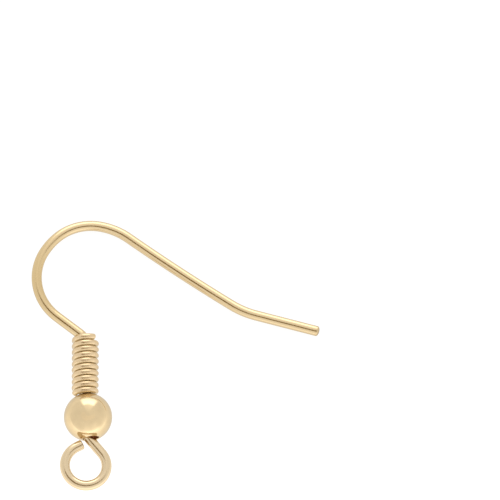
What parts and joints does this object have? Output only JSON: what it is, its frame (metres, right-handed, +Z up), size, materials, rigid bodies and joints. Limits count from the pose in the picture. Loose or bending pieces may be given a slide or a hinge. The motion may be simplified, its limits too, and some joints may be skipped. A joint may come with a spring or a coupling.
{
  "type": "ear wire",
  "caption": "Fish-hook ear wire of gold-coloured metal: one bent round wire with a coil and a polished bead on its stem and a split loop below them for the drop.",
  "frame": {"origin": "middle of the outline on the surface that the ear wire lies on", "axes": "+X from the stem towards the tip, the longest extent; +Y from the loop towards the big bend; +Z up, away from the surface"},
  "size_m": [0.0178, 0.0172, 0.003],
  "materials": {
    "wire_gold": "polished",
    "coil_gold": "polished",
    "bead_gold": "polished"
  },
  "bodies": {
    "root": {"ear_hook": "wire_gold", "coil": "coil_gold", "bead": "bead_gold"}
  },
  "joints": []
}
